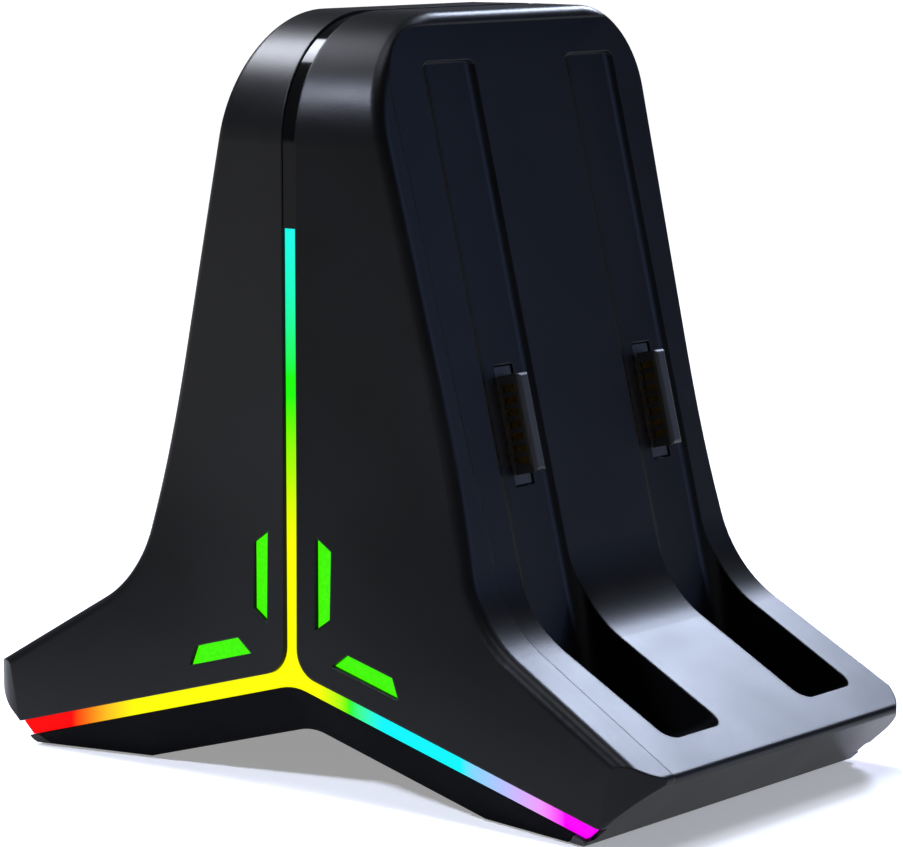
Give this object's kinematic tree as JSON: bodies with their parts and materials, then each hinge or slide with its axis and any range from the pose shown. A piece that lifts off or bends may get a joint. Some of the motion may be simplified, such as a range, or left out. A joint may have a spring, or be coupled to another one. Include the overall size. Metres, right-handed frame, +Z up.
{
  "type": "controller charging dock",
  "caption": "Tapered black tower on spread wings with bays that hold and charge hand controllers, and lit Y-shaped strips on the front and back.",
  "frame": {"origin": "on the table below the middle of the dock", "axes": "+X to the right of someone in front of the dock, +Y to the back, +Z up"},
  "size_m": [0.1426, 0.0794, 0.1285],
  "materials": {
    "shell_plastic": "satin black moulded",
    "base_plastic": "black moulded",
    "light_guide": "clear guide lit from behind in a run of colours",
    "trim_gloss": "gloss black",
    "indicator_lens": "green lit window",
    "circuit_board": "green solder mask",
    "lamp": "white package",
    "chip": "black package",
    "socket_steel": "plain",
    "tongue_plastic": "black moulded",
    "contact_gold": "gold plated",
    "magnet": "plated",
    "ribbon": "white film",
    "foot_rubber": "black",
    "screw_steel": "dark plated"
  },
  "bodies": {
    "root": {"right_shell": "shell_plastic", "left_shell": "shell_plastic", "base_pan": "base_plastic", "front_light_guide": "light_guide", "rear_light_guide": "light_guide", "top_trim": "trim_gloss", "right_upper_lens": "indicator_lens", "right_lower_lens": "indicator_lens", "left_upper_lens": "indicator_lens", "left_lower_lens": "indicator_lens", "front_light_board": "circuit_board", "rear_light_board": "circuit_board", "front_lamps": "lamp", "rear_lamps": "lamp", "indicator_lamps": "lamp", "main_board": "circuit_board", "control_chip": "chip", "charge_chips": "chip", "power_socket_shell": "socket_steel", "power_socket_tongue": "tongue_plastic", "right_contact_board": "circuit_board", "left_contact_board": "circuit_board", "right_front_tongue": "tongue_plastic", "right_rear_tongue": "tongue_plastic", "left_front_tongue": "tongue_plastic", "left_rear_tongue": "tongue_plastic", "right_front_contacts": "contact_gold", "right_rear_contacts": "contact_gold", "left_front_contacts": "contact_gold", "left_rear_contacts": "contact_gold", "right_magnets": "magnet", "left_magnets": "magnet", "right_ribbon": "ribbon", "left_ribbon": "ribbon", "front_ribbon": "ribbon", "rear_ribbon": "ribbon", "right_front_foot": "foot_rubber", "right_rear_foot": "foot_rubber", "left_front_foot": "foot_rubber", "left_rear_foot": "foot_rubber", "base_screws": "screw_steel", "main_board_screws": "screw_steel", "light_board_screws": "screw_steel", "right_contact_screws": "screw_steel", "left_contact_screws": "screw_steel"}
  },
  "joints": []
}
